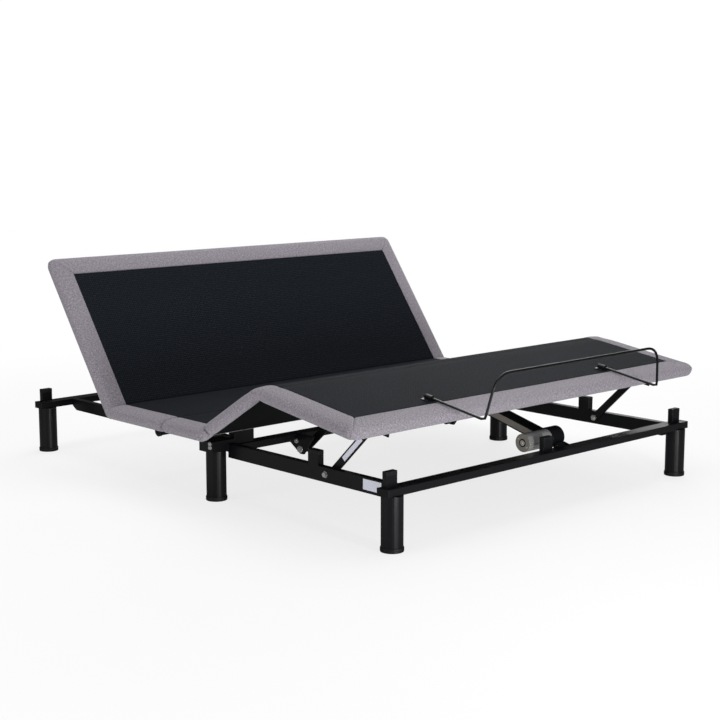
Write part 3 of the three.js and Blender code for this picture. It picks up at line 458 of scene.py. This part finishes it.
def deck_cover(name, s_open, s_end, closed, fold, seam_at_open, fold_steps):
    """A cover over one fold: a black top, and a padded border along both sides and the closed end."""
    length = abs(s_end - s_open)
    facing = 1.0 if s_end > s_open else -1.0
    end_in = SEAM_IN if closed else 0.0
    t_top = length - end_in
    fold_t = abs(fold.at - s_open)
    close = [fold_t + q for q in fold_steps] + [fold_t - q for q in fold_steps]
    if closed:
        close += [t_top - q for q in CORNER_STEPS]
    if seam_at_open:
        close += SEAM_STEPS
    ts = samples(t_top, ROW_STEP, close)
    x_top = HALF - SEAM_IN
    corner_columns = list(CORNER_STEPS) + [2 * x_top - q for q in CORNER_STEPS]
    across = samples(2 * x_top, COLUMN_STEP, corner_columns)
    xs = [p - x_top for p in across]

    bm = bmesh.new()
    row = bm.verts.layers.int.new("row")
    column = bm.verts.layers.int.new("column")
    ring_of = bm.verts.layers.int.new("ring")
    bmesh.ops.create_grid(bm, x_segments=len(xs) - 1, y_segments=len(ts) - 1, size=1.0)
    for v in bm.verts:
        v[column] = round((v.co.x + 1) / 2 * (len(xs) - 1))
        v[row] = round((v.co.y + 1) / 2 * (len(ts) - 1))
    last_row = len(ts) - 1
    last_column = len(xs) - 1

    def border_edge(edge):
        a, b = edge.verts
        if a[column] == b[column] and a[column] in (0, last_column):
            return True
        return closed and a[row] == b[row] == last_row

    rim = [e for e in bm.edges if e.is_boundary and border_edge(e)]
    for ring in range(1, len(section) + 1):
        made = bmesh.ops.extrude_edge_only(bm, edges=rim)["geom"]
        for v in made:
            if isinstance(v, bmesh.types.BMVert):
                v[ring_of] = ring
        rim = [
            e
            for e in made
            if isinstance(e, bmesh.types.BMEdge) and all(v[ring_of] == ring for v in e.verts)
        ]
    # close the section back to the groove
    groove = [e for e in bm.edges if all(v[ring_of] == GROOVE_RING for v in e.verts)]
    bmesh.ops.bridge_loops(bm, edges=rim + groove)

    def flat_place(v):
        ring = v[ring_of]
        t = ts[v[row]]
        x = xs[v[column]]
        at_end = closed and v[row] == last_row
        at_side = v[column] in (0, last_column)
        if ring == 0:
            return x, t, PAD, 0.0, 0.0
        side_in, near_in, n = section[ring - 1]
        corner = 1.0
        radius = max(CORNER - min(side_in, near_in), 0.0)
        sign = -1.0 if x < 0 else 1.0
        if at_side:
            out = SEAM_IN - near_in
            c = t_top - t
            far = c * (ZONE + out) / ZONE if c < ZONE else c + out
            if not closed:
                far = 1.0
            a, b = far, 0.0
            if closed and far < radius:
                turn = math.radians(45) * (1 - far / radius)
                a, b = radius - radius * math.sin(turn), radius - radius * math.cos(turn)
            place_x = sign * (HALF - side_in - b)
            place_t = length - near_in - a if closed else t
            corner = far
        else:
            out = SEAM_IN - side_in
            c = x_top - abs(x)
            far = c * (ZONE + out) / ZONE if c < ZONE else c + out
            a, b = far, 0.0
            if far < radius:
                turn = math.radians(45) * (1 - far / radius)
                a, b = radius - radius * math.sin(turn), radius - radius * math.cos(turn)
            place_x = sign * (HALF - side_in - a)
            place_t = length - near_in - b
            corner = far
        before = section[ring - 2] if ring > 1 else (SEAM_IN, SEAM_IN, PAD)
        after = section[min(ring, len(section) - 1)]
        step_in = after[0] - before[0]
        step_n = after[2] - before[2]
        size = math.hypot(step_in, step_n) or 1.0
        out_n = -step_in / size
        out_in = step_n / size
        outer = ring <= OUTER_RINGS
        lift = 0.0
        if outer and ring > GROOVE_RING:
            run = place_t if at_side and not at_end else place_x + 3.0
            lift += 0.0007 * noise.noise(Vector((run * 9.0, ring * 0.12, sign + facing)))
            lift += 0.0003 * noise.noise(Vector((run * 38.0, ring * 0.3, 5.0 + sign)))
            if closed:
                lift -= MITRE_PULL * math.exp(-((corner / MITRE_WIDTH) ** 2))
                lift += SWELL * math.exp(-(((corner - SWELL_AT) / SWELL_WIDTH) ** 2))
            if at_side:
                away = place_t - fold_t
                depth = CREASE_CLOSED if fold.high_turn > fold.low_turn else CREASE_OPEN
                phase = 0.6 + sign + ring * 0.05
                lift += depth * crease_wave(away, phase, CREASE_SPREAD, CREASE_LENGTH)
        return place_x, place_t, n, lift * out_n, lift * out_in

    uv = bm.loops.layers.uv.new("cloth")
    flat = {}
    for v in bm.verts:
        x, t, n, up, out = flat_place(v)
        if seam_at_open and t < SEAM_ROLL:
            # the border rounds off where the two seat panels meet, and leaves a dark line
            pull = (1 - t / SEAM_ROLL) ** 2
            if v[ring_of] > GROOVE_RING:
                n += (SEAM_MIDDLE - n) * SEAM_DRAW * pull
                x -= math.copysign(max(abs(x) - (HALF - SEAM_BAND), 0.0), x) * SEAM_NARROW * pull
            else:
                n -= SEAM_DIP * pull
        if v[ring_of] <= GROOVE_RING:
            away = abs(t - fold_t)
            if fold.high_turn > fold.low_turn:
                n -= VALLEY_DEPTH * math.exp(-((away / VALLEY_WIDTH) ** 2))
                n += RIDGE_HEIGHT * math.exp(-(((away - RIDGE_AT) / RIDGE_WIDTH) ** 2))
            n += 0.0007 * noise.noise(Vector((x * 3.1, t * 3.7, facing)))
        if fold.high_turn < fold.low_turn and n > 0.001:
            # the cover is tight over the knee and presses the foam flat
            n *= 1 - KNEE_SQUEEZE * math.exp(-(((t - fold_t) / KNEE_REACH) ** 2))
        sign = -1.0 if x < 0 else 1.0
        if v[ring_of] > 0 and closed and v[row] == last_row and v[column] not in (0, last_column):
            t += out
        elif v[ring_of] > 0:
            x += sign * out
        n += up
        flat[v] = (x, t)
        y, z = fold.bend(s_open + facing * t, n)
        v.co = (x, y, z)
    for face in bm.faces:
        rings = [v[ring_of] for v in face.verts]
        wrap = max(rings) - min(rings) > 1
        end_face = closed and all(v[row] == last_row for v in face.verts)
        for loop in face.loops:
            v = loop.vert
            x, t = flat[v]
            if max(rings) == 0:
                loop[uv].uv = (x, t)
            elif end_face:
                loop[uv].uv = (x + 7.0, 4.0 + ARC[v[ring_of]] * (0 if wrap else 1))
            else:
                loop[uv].uv = (math.copysign(2.0, x) + ARC[v[ring_of]], t)
    # split the black top from the padded border along the groove
    border_faces = [f for f in bm.faces if max(v[ring_of] for v in f.verts) > GROOVE_RING]
    border = bm.copy()
    border.faces.ensure_lookup_table()
    bm.faces.index_update()
    picked = {f.index for f in border_faces}
    bmesh.ops.delete(bm, geom=border_faces, context="FACES")
    rest = [f for f in border.faces if f.index not in picked]
    bmesh.ops.delete(border, geom=rest, context="FACES")
    ends = [e for e in border.edges if e.is_boundary]
    bmesh.ops.holes_fill(border, edges=ends, sides=0)
    bmesh.ops.recalc_face_normals(border, faces=border.faces)
    bmesh.ops.recalc_face_normals(bm, faces=bm.faces)
    if sum(f.normal.z for f in bm.faces) < 0:
        bmesh.ops.reverse_faces(bm, faces=bm.faces)
    top = finish_piece(bm, name + "_top", [anti_slip])
    roll = finish_piece(border, name + "_border", [linen])
    for piece in (top, roll):
        rounding = piece.modifiers.new("soft", "SUBSURF")
        rounding.levels = rounding.render_levels = 1
        rounding.boundary_smooth = "PRESERVE_CORNERS"
        if facing > 0:
            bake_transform(piece)
        else:
            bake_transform(piece)
    return roll


FLAT_STEPS = (0.0, 0.0006, 0.0015, 0.003, 0.0055, 0.009, 0.014, 0.020, 0.028)
KNEE_STEPS = (0.0, 0.004, 0.008, 0.012, 0.016, 0.020, 0.024, 0.029, 0.034, 0.042, 0.052)
SEAM_GAP = 0.0011  # half the gap between the two seat panels' covers
back_border = deck_cover(
    "back_cover",
    SEAM_S + SEAM_GAP,
    HEAD_S,
    closed=True,
    fold=back_fold,
    seam_at_open=True,
    fold_steps=FLAT_STEPS,
)
seat_border = deck_cover(
    "front_seat_cover",
    SEAM_S - SEAM_GAP,
    THIGH_S - LAP,
    closed=False,
    fold=thigh_fold,
    seam_at_open=True,
    fold_steps=FLAT_STEPS,
)
leg_border = deck_cover(
    "leg_cover",
    THIGH_S - LAP,
    FOOT_S,
    closed=True,
    fold=knee_fold,
    seam_at_open=False,
    fold_steps=KNEE_STEPS,
)
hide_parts("seat_rear_upholstery", "back_upholstery")
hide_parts("seat_front_upholstery")
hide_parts("thigh_upholstery", "calf_upholstery")


# ---- fittings ----
def deck_point(x, y, z):
    """A point in metres from millimetres measured in the deck's own frame."""
    return Vector((x * MM, y * MM + SHIFT, z * MM))


def disc(bm, centre, axis, radius, height, sides, rounding, rise=0.0):
    """A round or hexagonal slug that stands on a point, with its far rim rounded."""
    made = bmesh.ops.create_cone(
        bm, cap_ends=True, segments=sides, radius1=radius, radius2=radius, depth=height
    )["verts"]
    turn = Vector((0, 0, 1)).rotation_difference(axis).to_matrix().to_4x4()
    place = Matrix.Translation(centre + axis * (height / 2 + rise)) @ turn
    bmesh.ops.transform(bm, matrix=place, verts=made)
    far = (centre + axis * (height + rise)).dot(axis)
    rim = {
        e
        for v in made
        for e in v.link_edges
        if all(abs(w.co.dot(axis) - far) < 1e-5 for w in e.verts)
    }
    round_edges(bm, rim, rounding, 2)


WASHER = 0.0014  # how thick a bolt's washer is


def bolt(name, at, axis, size, body):
    """A hexagon bolt head on a washer. Size is the thread's diameter in millimetres."""
    bm = bmesh.new()
    disc(bm, at, axis, size * 1.1 * MM, WASHER, 28, 0.0004)
    disc(bm, at, axis, size * 0.92 * MM, size * 0.55 * MM, 6, 0.0006, WASHER)
    return finish_piece(bm, name, [zinc], body, smooth=False)


def block(bm, low, high, rounding):
    """A box between two corners with its edges rounded."""
    made = bmesh.ops.create_cube(bm, size=1.0)["verts"]
    size = high - low
    place = Matrix.Translation((low + high) / 2) @ Matrix.Diagonal((*size, 1.0))
    bmesh.ops.transform(bm, matrix=place, verts=made)
    round_edges(bm, {e for v in made for e in v.link_edges}, rounding, 3)


# Places in millimetres, in the deck's own frame.
LEG_X = 751
FOOT_LEG_Y, MID_LEG_Y, HEAD_LEG_Y = -945.0, -57.0, 1061.0
CAP_INNER, CAP_OUTER = 789.7, 793.2
CAP_HALF, CAP_LOW, CAP_HIGH = 25.8, 178.2, 204.8
RAIL_OUTER = 725
LINK_Y, LINK_Z = -605, 180
BRACKET_OUTER = 404
LEG_BOLT_X, LEG_BOLT_Y, LEG_BOLT_HEIGHTS = 797, -84.0, (198, 211)
NUT_X, NUT_END_X = 691.5, 684
UP = Vector((0, 0, 1))
RIGHT, LEFT = Vector((1, 0, 0)), Vector((-1, 0, 0))
SIDES = (("left", -1, LEFT), ("right", 1, RIGHT))
for side, sign, outward in SIDES:
    for place, y in (("foot", FOOT_LEG_Y), ("head", HEAD_LEG_Y)):
        bm = bmesh.new()
        xs = sorted((sign * CAP_INNER, sign * CAP_OUTER))
        low = deck_point(xs[0], y - CAP_HALF, CAP_LOW)
        high = deck_point(xs[1], y + CAP_HALF, CAP_HIGH)
        block(bm, low, high, 0.0012)
        finish_piece(bm, f"{place}_rail_cap_{side}", [housing], "base", smooth=False)
    rail_bolt = deck_point(sign * RAIL_OUTER, LINK_Y, LINK_Z)
    bolt(f"side_rail_bolt_{side}", rail_bolt, outward, 10, "base")
    pivot_bolt = deck_point(sign * BRACKET_OUTER, -110, 138)
    bolt(f"lift_pivot_bolt_{side}", pivot_bolt, outward, 12, "base")
    hanger_bolt = deck_point(sign * BRACKET_OUTER, -89, 166)
    bolt(f"hanger_bolt_{side}", hanger_bolt, outward, 8, "base")
    for index, z in enumerate(LEG_BOLT_HEIGHTS):
        leg_bolt = deck_point(sign * LEG_BOLT_X, LEG_BOLT_Y, z)
        bolt(f"leg_bracket_bolt_{side}_{index}", leg_bolt, outward, 7, "base")
    bm = bmesh.new()
    disc(bm, deck_point(sign * NUT_X, LINK_Y, LINK_Z), -outward, 0.0118, 0.0075, 6, 0.0006)
    disc(bm, deck_point(sign * NUT_END_X, LINK_Y, LINK_Z), -outward, 0.0058, 0.0035, 24, 0.0008)
    finish_piece(bm, f"link_nut_{side}", [zinc], "base", smooth=False)

# Rubber caps over the posts' tops, which the boards come to rest on: where each post stands,
# and its width and depth.
POSTS = [(x, -934.2, 45, 20) for x in (-LEG_X, 0, LEG_X)]
POSTS += [(x, 1069.5, 45, 20) for x in (-LEG_X, LEG_X)]
POSTS += [(x, -545, 25, 50) for x in (-712.5, 712.5)]
POSTS += [(x, y, 25, 50) for x in (-636, 636) for y in (200, 760)]
CAP_WALL = 0.9
POST_CAP_LOW, POST_CAP_HIGH = 238, 254.2
for index, (x, y, width, depth) in enumerate(POSTS):
    bm = bmesh.new()
    block(
        bm,
        deck_point(x - width / 2 - CAP_WALL, y - depth / 2 - CAP_WALL, POST_CAP_LOW),
        deck_point(x + width / 2 + CAP_WALL, y + depth / 2 + CAP_WALL, POST_CAP_HIGH),
        0.0024,
    )
    finish_piece(bm, f"post_cap_{index}", [rubber], "base", smooth=False)

# Two ribs round each rubber glide, of the same rubber.
GLIDE_RIB = 0.0384
for place, y in (("foot", FOOT_LEG_Y), ("mid", MID_LEG_Y), ("head", HEAD_LEG_Y)):
    for side, sign, outward in SIDES:
        bm = bmesh.new()
        for z in (3.5, 9.5):
            disc(bm, deck_point(sign * LEG_X, y, z), UP, GLIDE_RIB, 0.0034, 48, 0.0012)
        finish_piece(bm, f"{place}_glide_ribs_{side}", [rubber], "base", smooth=False)

# Blank labels: a rating plate on the left side rail, and a strip on the left calf link.
bm = bmesh.new()
block(bm, deck_point(-725.5, -870, 164), deck_point(-724.9, -786, 199), 0.0002)
finish_piece(bm, "blank_plate", [label_paper], "base", smooth=False)

LINK_TURN = math.radians(180 - 44)
LINK_LABEL_X = -698
bm = bmesh.new()
block(bm, Vector((-0.0002, 0.082, -0.0085)), Vector((0.0004, 0.2, 0.0085)), 0.0002)
turn = Matrix.Rotation(LINK_TURN, 4, "X")
place = Matrix.Translation(deck_point(LINK_LABEL_X, LINK_Y, LINK_Z)) @ turn
bmesh.ops.transform(bm, matrix=place, verts=bm.verts)
finish_piece(bm, "blank_link_strip", [label_paper], "calf_links", smooth=False)

# Grey side plates of the actuators' guides. A guide rises by RISE over RUN from its clevis.
LEG_RISE, LEG_RUN = 143.6, 555.0
HEAD_RISE, HEAD_RUN = 80.0, 545.8
CLEVIS_Z, GUIDE_HALF = 200, 28
GUIDES = (
    ("leg", "leg_actuator", 120, -901, math.atan2(LEG_RISE, LEG_RUN)),
    ("head", "head_actuator", -120, 1017, math.pi - math.atan2(HEAD_RISE, HEAD_RUN)),
)
for prefix, body, x, y, turn in GUIDES:
    for side, sign in (("left", -1), ("right", 1)):
        bm = bmesh.new()
        block(bm, Vector((-0.0012, 0.1, -0.0115)), Vector((0.0012, 0.405, 0.0115)), 0.0008)
        clevis = Matrix.Translation(deck_point(x + sign * GUIDE_HALF, y, CLEVIS_Z))
        place = clevis @ Matrix.Rotation(turn, 4, "X")
        bmesh.ops.transform(bm, matrix=place, verts=bm.verts)
        finish_piece(bm, f"{prefix}_guide_plate_{side}", [end_plate], body, smooth=False)



def around(degrees, radius):
    """A step of a radius away from an axis along X, at an angle round it."""
    turn = math.radians(degrees)
    return Vector((0, math.cos(turn), math.sin(turn))) * radius


# Motor end plates with a bearing cap and two screws, and four screws on each gearbox.
for prefix, body, facing in (("leg", "leg_actuator", 1), ("head", "head_actuator", -1)):
    low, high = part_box(f"{prefix}_actuator_motor")
    centre = (low + high) / 2
    end_x = low.x if facing > 0 else high.x
    away = LEFT if facing > 0 else RIGHT
    face = Vector((end_x, centre.y, centre.z)) - away * 0.006
    bm = bmesh.new()
    disc(bm, face, away, 0.0318, 0.0016, 48, 0.0005)
    finish_piece(bm, f"{prefix}_motor_end_plate", [end_plate], body, smooth=False)
    bm = bmesh.new()
    disc(bm, face, away, 0.0145, 0.0024, 40, 0.0006)
    finish_piece(bm, f"{prefix}_motor_bearing_cap", [housing], body, smooth=False)
    for index, degrees in enumerate((35, 215)):
        bm = bmesh.new()
        disc(bm, face + around(degrees, 0.0235), away, 0.0036, 0.0034, 24, 0.0008)
        finish_piece(bm, f"{prefix}_motor_screw_{index}", [zinc], body, smooth=False)
    low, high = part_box(f"{prefix}_actuator_gearbox")
    side_x = high.x if facing > 0 else low.x
    for index, degrees in enumerate((45, 135, 225, 315)):
        spot = Vector((side_x, centre.y, centre.z)) + around(degrees, 0.029)
        bm = bmesh.new()
        disc(bm, spot, -away, 0.004, 0.003, 24, 0.0008)
        finish_piece(bm, f"{prefix}_gearbox_screw_{index}", [zinc], body, smooth=False)


# ---- floor, light and camera ----
floor = bmesh.new()
bmesh.ops.create_grid(floor, x_segments=1, y_segments=1, size=30.0)
pale, tree, shader = new_material("pale_floor", "f4f4f4", 0.9)
place = add_node(tree, "ShaderNodeTexCoord").outputs["Object"]
length = add_node(tree, "ShaderNodeVectorMath", links={0: place}, operation="LENGTH")
distance = length.outputs["Value"]
fade = add_node(
    tree,
    "ShaderNodeMapRange",
    {"From Min": 1.6, "From Max": 3.6, "To Min": 0.78},
    {"Value": distance},
    interpolation_type="SMOOTHSTEP",
).outputs[0]
mirrored = add_node(tree, "ShaderNodeLightPath").outputs["Is Glossy Ray"]
lit = add_node(tree, "ShaderNodeMapRange", {"To Min": 1.0, "To Max": 0.05}, {"Value": mirrored})
white = add_node(tree, "ShaderNodeEmission", {"Color": (1, 1, 1, 1)}, {"Strength": lit.outputs[0]})
output = next(n for n in tree.nodes if n.type == "OUTPUT_MATERIAL")
mixed = add_node(
    tree, "ShaderNodeMixShader", links={0: fade, 1: shader.outputs[0], 2: white.outputs[0]}
)
tree.links.new(mixed.outputs[0], output.inputs["Surface"])
ground_plane = finish_piece(floor, "floor", [pale], smooth=False)

world = bpy.data.worlds.new("studio")
bpy.context.scene.world = world
world.use_nodes = True
tree = world.node_tree
tree.nodes.clear()
path = add_node(tree, "ShaderNodeLightPath").outputs
# the room is dim where metal mirrors it, so that edges and tubes show only the lamps
ambient = add_node(
    tree, "ShaderNodeMapRange", {"To Min": 0.4, "To Max": 0.06}, {"Value": path["Is Glossy Ray"]}
)
level = add_node(
    tree,
    "ShaderNodeMapRange",
    {"To Max": 1.05},
    {"Value": path["Is Camera Ray"], "To Min": ambient.outputs[0]},
)
sky = add_node(tree, "ShaderNodeBackground", {"Color": (1, 1, 1, 1)}, {"Strength": level.outputs[0]})
add_node(tree, "ShaderNodeOutputWorld", links={"Surface": sky.outputs[0]})


def softbox(name, location, target, size, power):
    """A rectangular studio light turned to a point."""
    data = bpy.data.lights.new(name, "AREA")
    data.shape = "RECTANGLE"
    data.size, data.size_y = size
    data.energy = power
    lamp = bpy.data.objects.new(name, data)
    lamp.location = location
    lamp.rotation_mode = "QUATERNION"
    lamp.rotation_quaternion = (Vector(target) - Vector(location)).to_track_quat("-Z", "Y")
    bpy.context.scene.collection.objects.link(lamp)


softbox("overhead", (0.4, 0.3, 3.4), (0, 0, 0.2), (3.4, 3.4), 75)
softbox("right_rear", (3.6, 2.2, 2.4), (0, 0, 0.4), (2.4, 1.6), 55)
softbox("left", (-4.2, 0.3, 1.1), (-0.6, -0.1, 0.3), (1.6, 1.2), 30)
softbox("strip", (-0.95, -3.7, 0.4), (0, 0, 0.2), (0.26, 0.7), 70)

TARGET = Vector((0.0, SHIFT, 0.3957))
AZIMUTH, ELEVATION, DISTANCE = math.radians(-43.21), math.radians(9.07), 5.7083
back_vector = Vector(
    (
        math.sin(AZIMUTH) * math.cos(ELEVATION),
        -math.cos(AZIMUTH) * math.cos(ELEVATION),
        math.sin(ELEVATION),
    )
)
lens = bpy.data.cameras.new("camera")
lens.sensor_width = 36.0
lens.lens = 73.58
lens.shift_y = 0.0062
camera = bpy.data.objects.new("camera", lens)
camera.location = TARGET + back_vector * DISTANCE
camera.rotation_mode = "QUATERNION"
camera.rotation_quaternion = (-back_vector).to_track_quat("-Z", "Y")
bpy.context.scene.collection.objects.link(camera)
bpy.context.scene.camera = camera
bpy.context.scene.view_settings.view_transform = "Standard"
